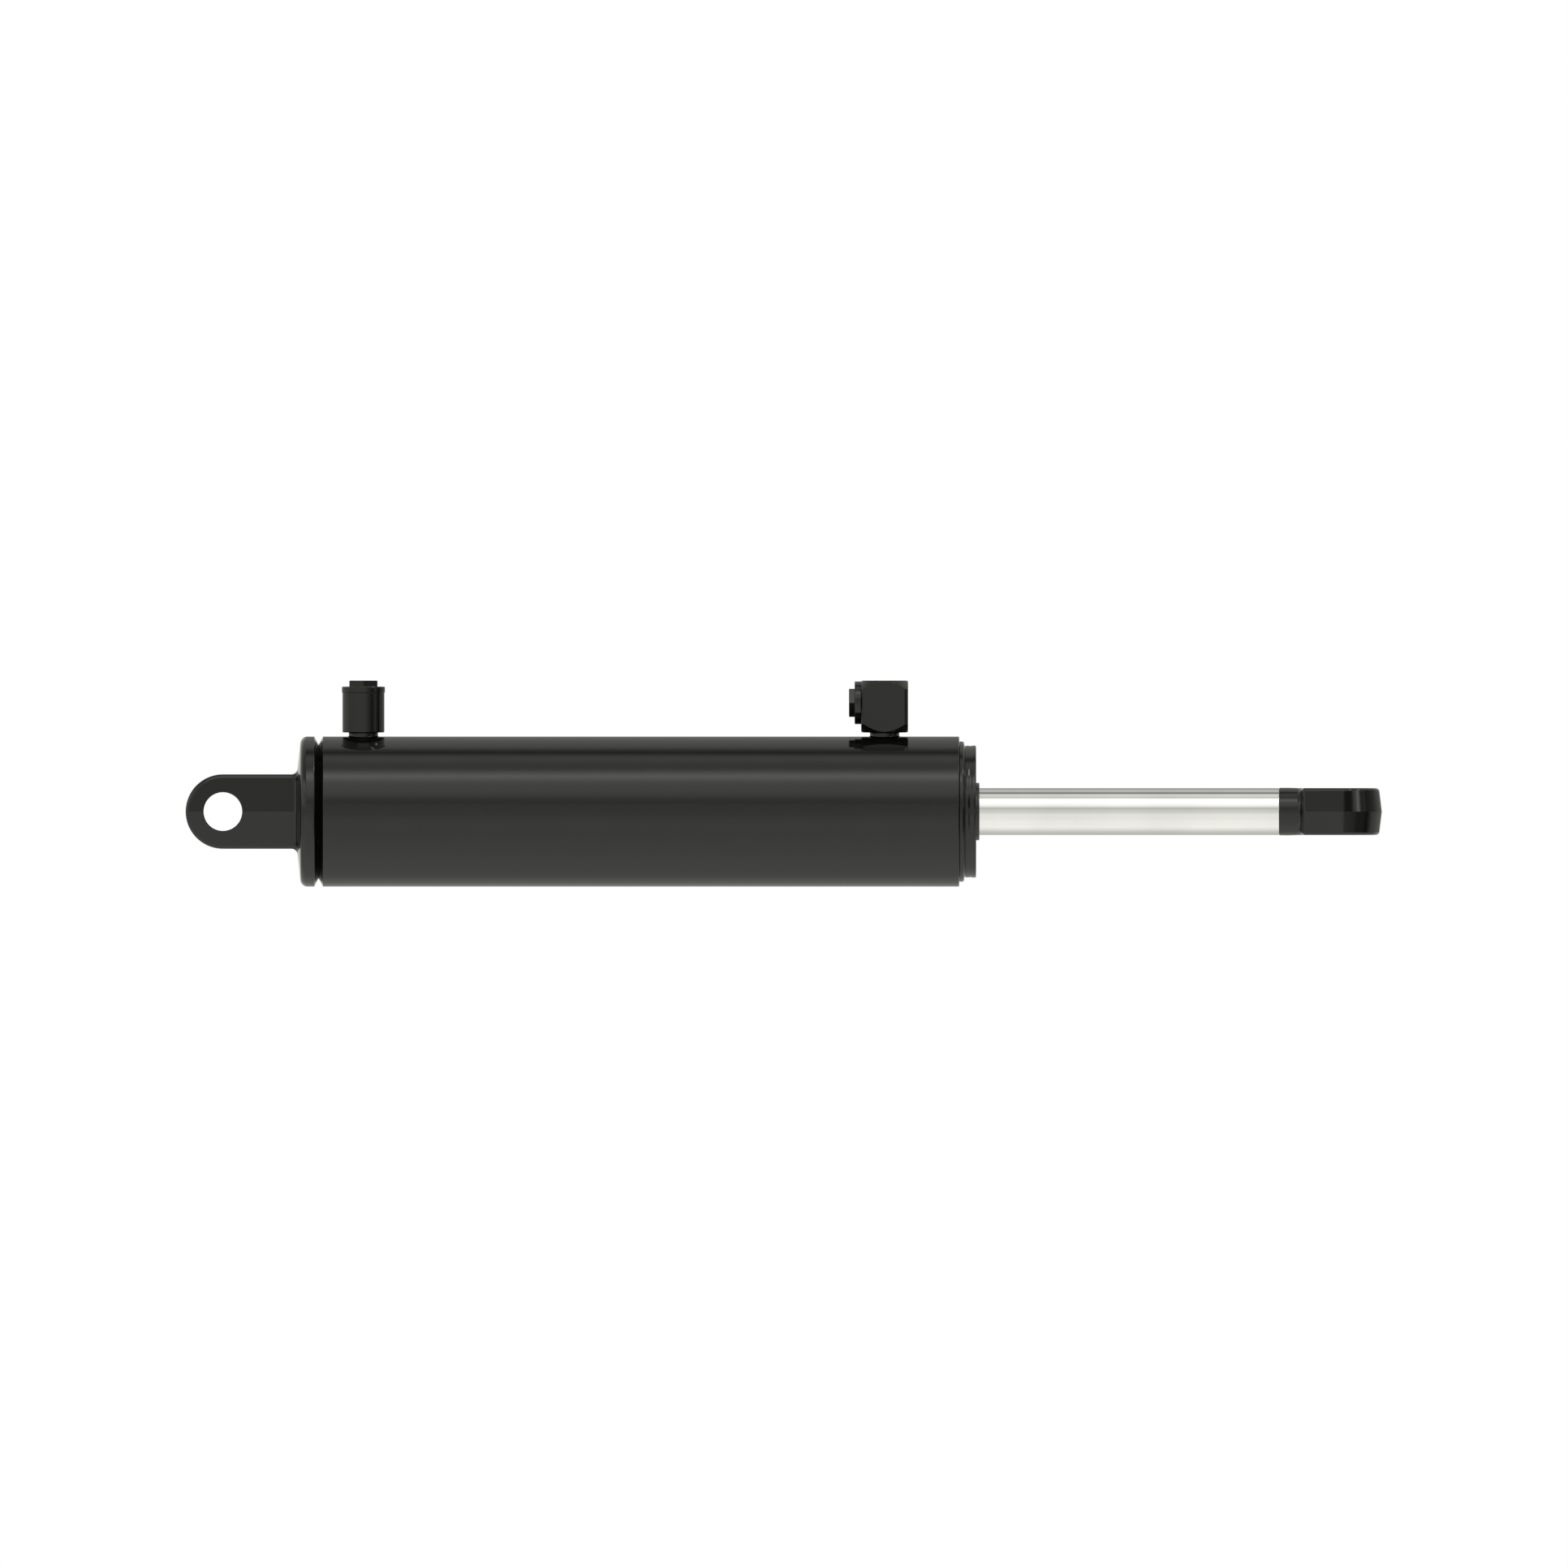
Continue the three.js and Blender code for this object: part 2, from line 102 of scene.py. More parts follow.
def rounded(points, closed=True):
    """[(a, r, fillet)] -> (points, outward normals), with every corner an arc of that radius."""
    P = [(float(p[0]), float(p[1])) for p in points]
    F = [float(p[2]) if len(p) > 2 else 0.12 for p in points]
    n = len(P)
    ring = P + [P[0]]
    area = 0.5 * sum(ring[i][0] * ring[i + 1][1] - ring[i + 1][0] * ring[i][1] for i in range(n))
    s = 1.0 if area > 0 else -1.0
    out_p, out_n = [], []

    def unit(a, b):
        v = (b[0] - a[0], b[1] - a[1])
        l = math.hypot(*v)
        return (v[0] / l, v[1] / l), l

    for i in range(n):
        first, last = (not closed and i == 0), (not closed and i == n - 1)
        if first:
            d, _ = unit(P[0], P[1])
            out_p.append(P[0])
            out_n.append((s * d[1], -s * d[0]))
            continue
        if last:
            d, _ = unit(P[-2], P[-1])
            out_p.append(P[-1])
            out_n.append((s * d[1], -s * d[0]))
            continue
        d1, l1 = unit(P[i - 1], P[i])
        d2, l2 = unit(P[i], P[(i + 1) % n])
        n1, n2 = (s * d1[1], -s * d1[0]), (s * d2[1], -s * d2[0])
        turn = math.atan2(d1[0] * d2[1] - d1[1] * d2[0], d1[0] * d2[0] + d1[1] * d2[1])
        if abs(turn) < 1e-4:
            out_p.append(P[i])
            out_n.append(n1)
            continue
        t = max(F[i], 0.02) * math.tan(abs(turn) / 2)
        t = min(t, 0.48 * l1, 0.48 * l2)
        f = t / math.tan(abs(turn) / 2)
        convex = turn * s > 0
        start = (P[i][0] - d1[0] * t, P[i][1] - d1[1] * t)
        k = 1.0 if convex else -1.0
        c = (start[0] - k * f * n1[0], start[1] - k * f * n1[1])
        steps = max(2, int(math.ceil(abs(turn) / math.radians(14 if f > 1.0 else 30))))
        for j in range(steps + 1):
            a = turn * j / steps
            m = (n1[0] * math.cos(a) - n1[1] * math.sin(a), n1[0] * math.sin(a) + n1[1] * math.cos(a))
            out_p.append((c[0] + k * f * m[0], c[1] + k * f * m[1]))
            out_n.append(m)
    return np.array(out_p), np.array(out_n)


AXES = {
    "X": (np.array([1.0, 0, 0]), np.array([0, 0, 1.0]), np.array([0, -1.0, 0])),
    "Z": (np.array([0, 0, 1.0]), np.array([1.0, 0, 0]), np.array([0, 1.0, 0])),
}


def lathe(name, points, n=128, axis="X", origin=(0, 0, 0), closed=True, arc=None, wobble=None):
    """A turned solid. arc=(from, to) in degrees leaves a ring split; wobble(theta, a, r) -> extra radius."""
    prof, nrm = rounded(points, closed)
    A, U, V = AXES[axis]
    o = np.array(origin, float)
    full = arc is None
    th = np.linspace(0, 2 * math.pi, n, endpoint=False) if full else np.radians(np.linspace(arc[0], arc[1], n))
    cs, sn = np.cos(th), np.sin(th)
    k = len(prof)
    radial = cs[:, None] * U + sn[:, None] * V                     # n, 3
    R = np.broadcast_to(prof[:, 1][:, None], (k, n)).copy()
    if wobble is not None:
        R += wobble(np.broadcast_to(th, (k, n)), prof[:, 0][:, None], prof[:, 1][:, None])
    verts = (o + prof[:, 0][:, None, None] * A + R[:, :, None] * radial[None]).reshape(-1, 3)
    normals = (nrm[:, 0][:, None, None] * A + nrm[:, 1][:, None, None] * radial[None]).reshape(-1, 3)
    faces = []
    rows = range(k) if closed else range(k - 1)
    cols = n if full else n - 1
    for i in rows:
        i2 = (i + 1) % k
        for j in range(cols):
            j2 = (j + 1) % n
            faces.append((i * n + j, i2 * n + j, i2 * n + j2, i * n + j2))
    if not full:
        faces.append(tuple(i * n for i in range(k))[::-1])
        faces.append(tuple(i * n + n - 1 for i in range(k)))
    # poles: rings at radius 0 become one vertex
    if not closed:
        keep = np.ones(len(verts), bool)
        remap = np.arange(len(verts))
        for i in (0, k - 1):
            if prof[i, 1] < 1e-9:
                remap[i * n:(i + 1) * n] = i * n
                keep[i * n + 1:(i + 1) * n] = False
        new = np.cumsum(keep) - 1
        faces = [[int(new[remap[v]]) for v in f] for f in faces]
        cleaned = []
        for f in faces:
            g = [v for q, v in enumerate(f) if v != f[q - 1]]
            if len(g) >= 3:
                cleaned.append(tuple(g))
        faces = cleaned
        verts, normals = verts[keep], normals[keep]
    else:
        faces = [tuple(int(v) for v in f) for f in faces]
    f0 = next(f for f in faces if np.linalg.norm(np.cross(verts[f[1]] - verts[f[0]], verts[f[2]] - verts[f[0]])) > 1e-6)
    g = np.cross(verts[f0[1]] - verts[f0[0]], verts[f0[2]] - verts[f0[0]])
    if g @ normals[f0[0]] < 0:
        faces = [f[::-1] for f in faces]
    ob = new_mesh(name, verts, faces)
    if wobble is None:
        def exact(p, c, fn):
            return turned_normals(p, c, fn, prof, nrm, closed, A, o)
        set_loop_normals(ob, exact)
    ob["_turned"] = 1
    TURNED[ob.name] = (prof, nrm, closed, A, o)
    return ob


TURNED = {}


def turned_normals(p, c, fn, prof, nrm, closed, A, o, holes=()):
    """Exact normals of a turned surface at p, and of any round holes bored in it."""
    q = p + 0.02 * (c - p)                 # a step towards the face's middle picks the right side of a corner
    d = q - o
    a = d @ A
    rad = d - a[:, None] * A
    r = np.linalg.norm(rad, axis=1)
    rad = rad / np.maximum(r, 1e-9)[:, None]
    P0, N0 = prof, nrm
    P1, N1 = np.roll(prof, -1, 0), np.roll(nrm, -1, 0)
    if not closed:
        P0, P1, N0, N1 = P0[:-1], P1[:-1], N0[:-1], N1[:-1]
    out = np.zeros((len(p), 3))
    step = 20000
    for s in range(0, len(p), step):
        e = slice(s, s + step)
        x = np.stack([a[e], r[e]], 1)[:, None]
        seg = (P1 - P0)[None]
        L = (seg ** 2).sum(2) + 1e-12
        t = (((x - P0[None]) * seg).sum(2) / L).clip(0, 1)
        near = P0[None] + t[:, :, None] * seg
        dist = ((x - near) ** 2).sum(2)
        i = dist.argmin(1)
        w = t[np.arange(len(i)), i][:, None]
        m = N0[i] * (1 - w) + N1[i] * w
        out[e] = m[:, 0][:, None] * A + m[:, 1][:, None] * rad[e]
    flat = (out * fn).sum(1) < 0.8
    out[flat] = fn[flat]
    for base, direction, radius in holes:
        b, w = np.array(base, float), np.array(direction, float)
        dd = p - b
        pr = dd - (dd @ w)[:, None] * w
        rr = np.linalg.norm(pr, axis=1)
        hit = flat & (abs(rr - radius) < 0.15) & (abs(fn @ w) < 0.3)
        out[hit] = -(pr / np.maximum(rr, 1e-9)[:, None])[hit]
    return out


def bore(ob, cutters):
    """Cuts round holes, given as (base point, direction, radius, length), and restores exact normals."""
    cut_objects = []
    for i, (base, direction, radius, length) in enumerate(cutters):
        w = np.array(direction, float)
        u = np.array([0, 1.0, 0]) if abs(w[1]) < 0.9 else np.array([1.0, 0, 0])
        v = np.cross(w, u)
        th = np.linspace(0, 2 * math.pi, 72, endpoint=False)
        ring = np.cos(th)[:, None] * u + np.sin(th)[:, None] * v
        b = np.array(base, float)
        verts = np.concatenate([b + radius * ring, b + length * w + radius * ring])
        faces = [(j, (j + 1) % 72, 72 + (j + 1) % 72, 72 + j) for j in range(72)]
        faces += [tuple(range(71, -1, -1)), tuple(range(72, 144))]
        g = np.cross(verts[1] - verts[0], verts[72] - verts[0])
        if g @ ring[0] < 0:
            faces = [f[::-1] for f in faces]
        cut = new_mesh(f"cut{i}", verts, faces)
        cut_objects.append(cut)
        m = ob.modifiers.new("bore", "BOOLEAN")
        m.operation, m.solver, m.object = "DIFFERENCE", "EXACT", cut
    bpy.context.view_layer.update()
    dg = bpy.context.evaluated_depsgraph_get()
    me = bpy.data.meshes.new_from_object(ob.evaluated_get(dg))
    ob.modifiers.clear()
    old = ob.data
    ob.data = me
    me.name = ob.name
    bpy.data.meshes.remove(old)
    for c in cut_objects:
        bpy.data.objects.remove(c)
    finish_mesh(ob)
    prof, nrm, closed, A, o = TURNED[ob.name]
    holes = [(b, d, r) for b, d, r, _ in cutters]
    set_loop_normals(ob, lambda p, c, fn: turned_normals(p, c, fn, prof, nrm, closed, A, o, holes))
    return ob


# ------------------------------------------------------ forged and milled parts
# Each is a distance function, negative inside, meshed by surface nets. The vertices are
# then moved exactly onto the surface, and each face corner gets the surface's own normal.


def rint(a, b, r):
    """Intersection with a rounded outer edge of radius r."""
    return np.minimum(-r, np.maximum(a, b)) + np.sqrt(np.maximum(r + a, 0) ** 2 + np.maximum(r + b, 0) ** 2)


def runi(a, b, r):
    """Union with a fillet of radius r in the inner corner."""
    return np.maximum(r, np.minimum(a, b)) - np.sqrt(np.maximum(r - a, 0) ** 2 + np.maximum(r - b, 0) ** 2)


def smooth(t):
    t = np.clip(t, 0, 1)
    return t * t * (3 - 2 * t)


def gradient(f, p, e=0.004):
    g = np.zeros_like(p)
    for i in range(3):
        d = np.zeros(3)
        d[i] = e
        hi, lo = p + d, p - d
        g[:, i] = (f(*hi.T) - f(*lo.T)) / (2 * e)
    return g


def settle(f, p, h, planes=()):
    """Moves points onto the surface; a point next to a ridge plane (axis, value) is put on the ridge."""
    p = p.copy()
    hold = np.ones_like(p)
    for axis, value in planes:
        near = abs(p[:, axis] - value) < 0.3 * h
        p[near, axis] = value
        hold[near, axis] = 0.0
    for _ in range(7):
        v = f(*p.T)
        g = gradient(f, p) * hold
        step = (v / np.maximum((g * g).sum(1), 0.05))[:, None] * g
        size = np.linalg.norm(step, axis=1)
        p -= step * np.minimum(1.0, 0.6 * h / np.maximum(size, 1e-9))[:, None]
    return p


def nets(name, f, lo, hi, h, planes=(), thin=None):
    lo = np.array(lo, float)
    # half a cell off the row's planes, so that ridges fall inside cells
    start = np.floor(lo / h) * h + h / 2 - h
    count = np.ceil((np.array(hi, float) - start) / h).astype(int) + 2
    ax = [start[i] + h * np.arange(count[i]) for i in range(3)]
    X, Y, Z = np.meshgrid(*ax, indexing="ij")
    F = f(X, Y, Z)
    inside = F < 0
    nx, ny, nz = F.shape
    corners = [(a, b, c) for a in (0, 1) for b in (0, 1) for c in (0, 1)]
    tot = sum(inside[a:nx - 1 + a, b:ny - 1 + b, c:nz - 1 + c].astype(np.int8) for a, b, c in corners)
    act = np.argwhere((tot > 0) & (tot < 8))
    cell = -np.ones((nx - 1, ny - 1, nz - 1), np.int64)
    cell[act[:, 0], act[:, 1], act[:, 2]] = np.arange(len(act))
    fv = np.stack([F[act[:, 0] + a, act[:, 1] + b, act[:, 2] + c] for a, b, c in corners], 1)
    cp = np.array(corners, float)
    acc = np.zeros((len(act), 3))
    cnt = np.zeros(len(act))
    for i in range(8):
        for j in range(i + 1, 8):
            if abs(cp[i] - cp[j]).sum() != 1:
                continue
            m = (fv[:, i] < 0) != (fv[:, j] < 0)
            t = np.where(m, fv[:, i] / np.where(m, fv[:, i] - fv[:, j], 1), 0)
            acc += np.where(m[:, None], cp[i] + t[:, None] * (cp[j] - cp[i]), 0)
            cnt += m
    P = start + h * (act + acc / cnt[:, None])
    faces = []
    for axis in range(3):
        b, c = (axis + 1) % 3, (axis + 2) % 3
        sl0, sl1 = [slice(None)] * 3, [slice(None)] * 3
        sl0[axis], sl1[axis] = slice(0, -1), slice(1, None)
        change = inside[tuple(sl0)] != inside[tuple(sl1)]
        e = np.argwhere(change)
        ok = (e[:, b] > 0) & (e[:, c] > 0) & (e[:, b] < F.shape[b] - 1) & (e[:, c] < F.shape[c] - 1)
        e = e[ok]
        out = inside[tuple(sl0)][e[:, 0], e[:, 1], e[:, 2]]

        def at(db, dc):
            q = e.copy()
            q[:, b] += db
            q[:, c] += dc
            return cell[q[:, 0], q[:, 1], q[:, 2]]
        quad = np.stack([at(-1, -1), at(0, -1), at(0, 0), at(-1, 0)], 1)
        quad[~out] = quad[~out][:, ::-1]
        faces.append(quad)
    faces = np.concatenate(faces)
    P = settle(f, P, h, planes)
    ob = new_mesh(name, P, faces.tolist())
    if thin:
        m = ob.modifiers.new("thin", "DECIMATE")
        m.ratio = thin
        bpy.context.view_layer.update()
        me = bpy.data.meshes.new_from_object(ob.evaluated_get(bpy.context.evaluated_depsgraph_get()))
        ob.modifiers.clear()
        old = ob.data
        ob.data = me
        me.name = name
        bpy.data.meshes.remove(old)
        co = mesh_arrays(me)[0]
        co = settle(f, co, h, planes)
        me.vertices.foreach_set("co", (co * MM).astype(np.float32).ravel())
        finish_mesh(ob)
    set_loop_normals(ob, lambda p, c, fn: gradient(f, p + 0.02 * (c - p), 0.002))
    return ob


# ---------------------------------------------------------------------------
# The pieces
# ---------------------------------------------------------------------------
PIN_R = 13.03
made = []


def piece(ob, node, slot, material=None):
    body = next(b for b, ns in frame["record"]["behaviour"]["bodies"].items() if node in ns)
    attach(ob, body)
    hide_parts(node)
    made.append((ob, material or slot))
    return ob


# Barrel tube: sharp-edged drawn-over-mandrel tube, bored for the two port necks.
tube = lathe("fine_barrel_tube", [
    (64.75, 44.45, 0.2), (83, 44.45), (107, 44.45), (435.5, 44.45), (459.5, 44.45), (497.8, 44.45, 0.4),
    (497.8, 50.8, 0.6), (459.5, 50.8), (435.5, 50.8), (107, 50.8), (83, 50.8), (67.7, 50.8, 0.35), (64.75, 45.5, 0.1),
], n=256)
bore(tube, [((95.0, 0, 38), (0, 0, 1), 10.25, 22), ((447.3, 0, 38), (0, 0, 1), 10.25, 22)])
piece(tube, "barrel_tube", "barrel_paint")


# Base cap with its forged tang.
def base_cap(x, y, z):
    r = np.sqrt(y * y + z * z)
    cone = np.maximum((x - 50.1) * -0.9937 + (r - 26.9) * 0.1126, 50.1 - x)
    d = rint(cone, r - 50.8, 4.2)
    d = rint(d, (x - 61.8) * 0.8817 + (r - 50.8) * 0.4716, 0.35)
    d = np.maximum(d, x - 64.6)
    spigot = np.maximum(rint(r - 44.1, x - 78.0, 0.8), 60 - x)
    d = np.minimum(d, spigot)
    face = (abs(y) - 15.875 + abs(z) * T7) * C7
    edge = np.sqrt(np.minimum(x, 0) ** 2 + z * z) - 25.2
    t = np.maximum(rint(face, edge, 2.6), x - 56)
    f = runi(d, t, 2.5 + 1.2 * smooth((abs(z) - 20) / 5))
    return rint(f, PIN_R - np.sqrt(x * x + z * z), 0.6)


cap = nets("fine_base_cap", base_cap, (-27, -52, -52), (79, 52, 52), 0.85, planes=[(2, 0.0)], thin=0.5)
piece(cap, "base_cap", "barrel_paint")

# Root pass of the cap weld, with the ripple of a bead laid in steps. Its dull, near-black finish is partly the bead's
# own look and partly painted shade for the bottom of the cap's V groove.
root = lathe("fine_base_root_weld", [
    (64.3, 44.75), (65.1, 44.75), (65.1, 45.0, 0.2), (64.3, 45.0, 0.2)], n=480,
    wobble=lambda t, a, r: 0.1 * np.abs(np.sin(t * 58)) * (r > 44.9))
piece(root, "base_root_weld", "weld_steel")

# Gland: stepped and ribbed flange, bored for the rod, its seals and a pin spanner.
gland = lathe("fine_gland", [
    (440.0, 33.0, 0.8), (458.9, 33.0, 0.6), (458.9, 43.3, 0.3), (459.7, 44.1, 0.3),
    (463.0, 44.1, 0.2), (463.0, 40.6, 0.4), (468.6, 40.6, 0.4), (468.6, 44.1, 0.2),
    (497.86, 44.1, 0.2), (497.86, 47.5, 0.5), (501.25, 47.5, 2.1),
    (501.25, 44.3, 0.45), (503.4, 44.77, 4.0), (505.3, 44.38, 4.0), (507.3, 44.78, 4.0), (509.2, 44.6, 0.7),
    (509.2, 20.4, 0.4), (501.2, 20.4, 0.2), (501.2, 16.2, 0.2),
    (494.2, 16.2, 0.15), (494.2, 18.7, 0.2), (484.0, 18.7, 0.2), (484.0, 16.2, 0.15),
    (479.0, 16.2, 0.15), (479.0, 21.3, 0.3), (472.0, 21.3, 0.3), (472.0, 16.2, 0.15),
    (453.3, 16.2, 0.15), (453.3, 18.7, 0.2), (443.4, 18.7, 0.2), (443.4, 16.2, 0.15), (440.0, 16.2, 0.6),
], n=160)
bore(gland, [((503.2, 34 * math.cos(math.pi / 4 + i * math.pi / 2), 34 * math.sin(math.pi / 4 + i * math.pi / 2)),
              (1, 0, 0), 3.2, 9) for i in range(4)])
piece(gland, "gland", "barrel_paint")


def o_ring(a, r, rad, n=20):
    return [(a + rad * math.cos(2 * math.pi * i / n), r + rad * math.sin(2 * math.pi * i / n), 0.6 * rad) for i in range(n)]


piece(lathe("fine_gland_o_ring", o_ring(464.95, 42.5, 1.62), n=144), "gland_o_ring", "seal_rubber")
piece(lathe("fine_gland_backup_ring", [(466.9, 41.0, .1), (468.3, 41.0, .1), (468.3, 44.05, .1), (466.9, 44.05, .1)], n=144),
      "gland_backup_ring", "wear_ring_nylon")
piece(lathe("fine_rod_seal", [
    (472.3, 16.1, .2), (478.7, 16.1, .3), (478.7, 21.0, .4), (472.3, 21.0, .2), (472.3, 19.4, .15),
    (475.6, 18.9, .25), (475.6, 18.2, .25), (472.3, 17.6, .15)], n=112), "rod_seal", "seal_urethane")


def split(x0, x1, r0, r1, middle, n):
    """A ring with a 1.6 mm gap at the angle where the CAD ring has it."""
    gap = math.degrees(0.8 / ((r0 + r1) / 2))
    return dict(points=[(x0, r0, .25), (x1, r0, .25), (x1, r1, .25), (x0, r1, .25)], n=n,
                arc=(middle + gap, middle + 360 - gap))


def ring_angle(turn):
    """The CAD cuts its slot at +Y turned by `turn` about X; here 0 is +Z and angles run towards -Y."""
    y, z = math.cos(math.radians(turn)), math.sin(math.radians(turn))
    return math.degrees(math.atan2(-y, z))


for node, x0, x1, r0, r1, turn, n in (
        ("rod_wear_ring_rear", 443.7, 453.0, 16.1, 18.4, 30, 112),
        ("rod_wear_ring_front", 484.3, 493.9, 16.1, 18.4, 210, 112),
        ("piston_wear_ring_rear", 289.9, 296.3, 41.4, 44.2, 130, 144),
        ("piston_wear_ring_front", 309.7, 316.1, 41.4, 44.2, 310, 144)):
    piece(lathe("fine_" + node, **split(x0, x1, r0, r1, ring_angle(turn), n)), node, "wear_ring_nylon")

piece(lathe("fine_rod_wiper", [
    (501.5, 16.6, .2), (501.5, 20.1, .2), (508.9, 20.1, .2), (509.3, 19.5, .15), (511.4, 19.5, 0.75),
    (511.4, 16.05, .15), (509.6, 16.05, .4), (507.6, 16.7, .3)], n=128), "rod_wiper", "wiper_urethane")


# Base port: round boss on a short neck, with the fillet of its attaching weld on the barrel.
def neck_and_weld(block, r, y, z):
    neck = np.maximum(np.maximum(r - 9.9, z - 60.0), 45.5 - z)
    f = runi(block, neck, 0.8)
    t = np.sqrt(y * y + z * z) - 50.8
    weld = np.maximum(np.maximum(runi(neck, t + 0.05, 0.95), -0.6 - t), r - 12.5)
    return np.minimum(f, weld)


def base_boss(x, y, z):
    r = np.sqrt((x - 95.0) ** 2 + y * y)
    b = rint(rint(r - 14.2, z - 80.3, 0.3), 53.45 - z, 0.45)
    f = neck_and_weld(b, r, y, z)
    hole = np.minimum(r - 6.0, np.minimum(np.maximum(r - 9.9, 61 - z), np.maximum(r - 12.6, 77.7 - z)))
    return np.maximum(f, -hole)


piece(nets("fine_base_port_boss", base_boss, (80, -15, 45), (110, 15, 81), 0.4, thin=0.5), "base_port_boss", "barrel_paint")


def hexagon(u, v, af, soft):
    a, b, c = abs(u), abs(0.5 * u + 0.8660254 * v), abs(0.5 * u - 0.8660254 * v)
    k = 14.0 / soft
    m = np.maximum(np.maximum(a, b), c)
    # a soft maximum rounds the six corners a little
    return m + np.log(np.exp(k * (a - m)) + np.exp(k * (b - m)) + np.exp(k * (c - m))) / k - af / 2


def plug(r, u, v, w, collar):
    """w runs out of the port from its seat face."""
    shank = np.maximum(rint(r - 9.5, -10.4 - w - 2.9, 0.7), w - 2.0)
    disc = rint(rint(r - collar, w - 4.15, 0.6), -0.08 - w, 0.25)
    head = np.maximum(rint(hexagon(u, v, 19.05, 0.5), w - 8.25, 0.4), 3.0 - w)
    return np.minimum(np.minimum(shank, disc), runi(disc, head, 0.25))


def base_plug(x, y, z):
    r = np.sqrt((x - 95.0) ** 2 + y * y)
    return plug(r, x - 95.0, y, z - 80.35, 14.6)


piece(nets("fine_base_port_plug", base_plug, (80, -15, 66.5), (110, 15, 89), 0.38, thin=0.5), "base_port_plug", "barrel_paint")
piece(lathe("fine_base_port_o_ring", o_ring(79.15, 11.15, 1.15, 16), n=96, axis="Z", origin=(95.0, 0, 0)),
      "base_port_o_ring", "seal_rubber")


# Rod port: square elbow turned conical at both ends like a nut, outlet towards the base.
def elbow(x, y, z):
    X = x - 447.3
    qx, qy = abs(X) - 12.9, abs(y) - 12.9
    col = np.sqrt(np.maximum(qx, 0) ** 2 + np.maximum(qy, 0) ** 2) + np.minimum(np.maximum(qx, qy), 0) - 3.0
    r = np.sqrt(X * X + y * y)
    b = rint(col, (r - 15.5 - (88.6 - z)) * 0.7071, 0.2)
    b = rint(b, (r - 15.3 - (z - 53.4) * 1.05) * 0.69, 0.2)
    b = rint(rint(b, z - 88.6, 0.3), 53.4 - z, 0.3)
    f = neck_and_weld(b, r, y, z)
    s = np.sqrt(y * y + (z - 73.5) ** 2)
    hole = np.minimum(np.maximum(r - 6.0, z - 73.5), np.maximum(s - 6.0, X - 5.5))
    hole = np.minimum(hole, np.minimum(np.maximum(s - 9.9, X + 2.5), np.maximum(s - 12.6, X + 13.3)))
    return np.maximum(f, -hole)


piece(nets("fine_rod_port_elbow", elbow, (430, -17, 45), (464, 17, 89.5), 0.45, thin=0.45), "rod_port_elbow", "barrel_paint")


def rod_plug(x, y, z):
    r = np.sqrt(y * y + (z - 73.5) ** 2)
    w = 431.4 - x
    shank = np.maximum(rint(r - 9.5, -10.5 - w, 0.7), w - 2.0)
    disc = rint(rint(r - 14.55, w - 4.4, 0.6), -0.03 - w, 0.25)
    head = np.maximum(rint(hexagon(z - 73.5, y, 19.05, 0.5), w - 8.2, 0.4), 3.0 - w)
    return np.minimum(np.minimum(shank, disc), runi(disc, head, 0.25))


piece(nets("fine_rod_port_plug", rod_plug, (422.5, -15, 58), (443, 15, 89), 0.38, thin=0.5), "rod_port_plug", "barrel_paint")
piece(lathe("fine_rod_port_o_ring", o_ring(432.55, 11.15, 1.15, 16), n=96, axis="X", origin=(0, 0, 73.5)),
      "rod_port_o_ring", "seal_rubber")

# Piston rod, piston and what they carry.
rod = lathe("fine_piston_rod", [
    (264.0, 0), (264.0, 12.6, 1.1), (318.8, 12.6, 0.8), (318.8, 15.875, 0.5), (713.85, 15.875, 0.1), (713.85, 0)],
    n=160, closed=False)
piece(rod, "piston_rod", "rod_chrome")

piece(lathe("fine_piston", [
    (287.5, 12.9, .6), (287.5, 44.1, .8), (289.6, 44.1, .2), (289.6, 41.1, .3), (296.6, 41.1, .3), (296.6, 44.1, .2),
    (299.6, 44.1, .2), (299.6, 39.3, .4), (306.4, 39.3, .4), (306.4, 44.1, .2),
    (309.4, 44.1, .2), (309.4, 41.1, .3), (316.4, 41.1, .3), (316.4, 44.1, .2),
    (318.5, 44.1, .8), (318.5, 12.9, .6), (305.0, 12.9, .15), (305.0, 15.4, .2), (301.0, 15.4, .2), (301.0, 12.9, .15)],
    n=160), "piston", "ductile_iron")


def nut(x, y, z):
    r = np.sqrt(y * y + z * z)
    h = hexagon(z, y, 38.1, 0.5)
    b = rint(rint(h, x - 287.2, 0.3), 266.4 - x, 0.3)
    b = np.maximum(b, (r - 19.4 - (x - 266.4) * 1.73) * 0.5)
    b = np.maximum(b, (r - 19.4 - (287.2 - x) * 1.73) * 0.5)
    return np.maximum(b, 12.9 - r)


piece(nets("fine_piston_nut", nut, (265.5, -23, -23), (288, 23, 23), 0.8), "piston_nut", "machined_steel")
piece(lathe("fine_piston_o_ring", o_ring(303.0, 14.0, 1.12, 16), n=96), "piston_o_ring", "seal_rubber")
piece(lathe("fine_piston_seal", [(299.9, 42.2, .2), (306.1, 42.2, .2), (306.1, 44.2, .35), (299.9, 44.2, .35)], n=144),
      "piston_seal", "seal_urethane")
piece(lathe("fine_piston_seal_energizer", [(300.0, 39.6, .8), (306.0, 39.6, .8), (306.0, 41.9, .8), (300.0, 41.9, .8)], n=144),
      "piston_seal_energizer", "seal_rubber")

# Rod eye: weld band, then the drafted forging with its round neck.
piece(lathe("fine_rod_eye_weld", [
    (713.88, 12.3, .1), (713.88, 16.12, 0.8), (720.0, 16.15, 20), (726.2, 15.98, 0.6), (726.2, 12.3, .1)],
    n=192), "rod_eye_weld", "barrel_paint")


